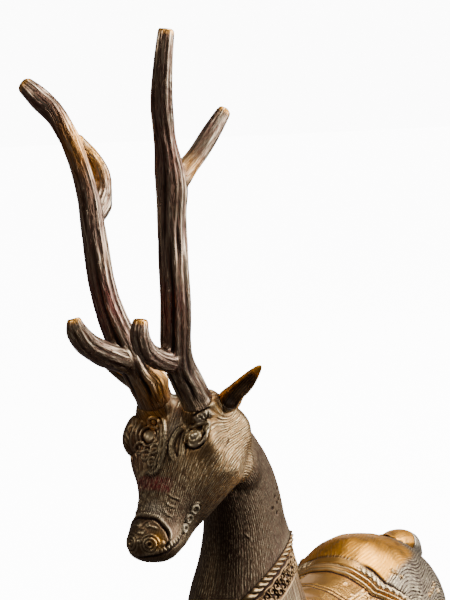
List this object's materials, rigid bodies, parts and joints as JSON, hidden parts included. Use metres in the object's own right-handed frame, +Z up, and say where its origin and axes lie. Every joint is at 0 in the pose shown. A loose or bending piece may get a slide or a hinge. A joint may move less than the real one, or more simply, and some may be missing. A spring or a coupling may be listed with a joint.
{
  "type": "seated deer statuette",
  "caption": "Cast bronze statuette of a seated deer with tall antlers that unscrew from the skull, a chased collar and saddle cloth, and a flat base to stand on.",
  "frame": {"origin": "on the ground, at the centre of the statuette's box", "axes": "+Z up; the deer faces -Y and its left side is +X"},
  "size_m": [0.1168, 0.3091, 0.3917],
  "materials": {
    "bronze": "antique bronze patina, chased",
    "antler_bronze": "dark patina with rubbed ridges",
    "polished_bronze": "rubbed golden bronze",
    "plate_brass": "plain sheet brass",
    "steel": "turned"
  },
  "bodies": {
    "figure": {"torso": "bronze", "neck_head": "bronze", "neck_collar": "polished_bronze", "foreleg_left": "bronze", "foreleg_right": "bronze", "hindleg_left": "bronze", "hindleg_right": "bronze", "ear_left": "bronze", "ear_right": "bronze", "tail": "polished_bronze", "base_plate": "plate_brass", "base_screw_front_left": "steel", "base_screw_front_right": "steel", "base_screw_rear_left": "steel", "base_screw_rear_right": "steel", "antler_socket_left": "steel", "antler_socket_right": "steel"},
    "antler_left": {"antler_left": "antler_bronze", "antler_left_stud": "steel"},
    "antler_right": {"antler_right": "antler_bronze", "antler_right_stud": "steel"}
  },
  "joints": [
    {"name": "antler_left_lift", "type": "slide", "parent": "figure", "child": "antler_left", "axis": [0, -0.5239, 0.8518], "range_m": [0, 0.035]},
    {"name": "antler_right_lift", "type": "slide", "parent": "figure", "child": "antler_right", "axis": [0, -0.5239, 0.8518], "range_m": [0, 0.035]}
  ]
}
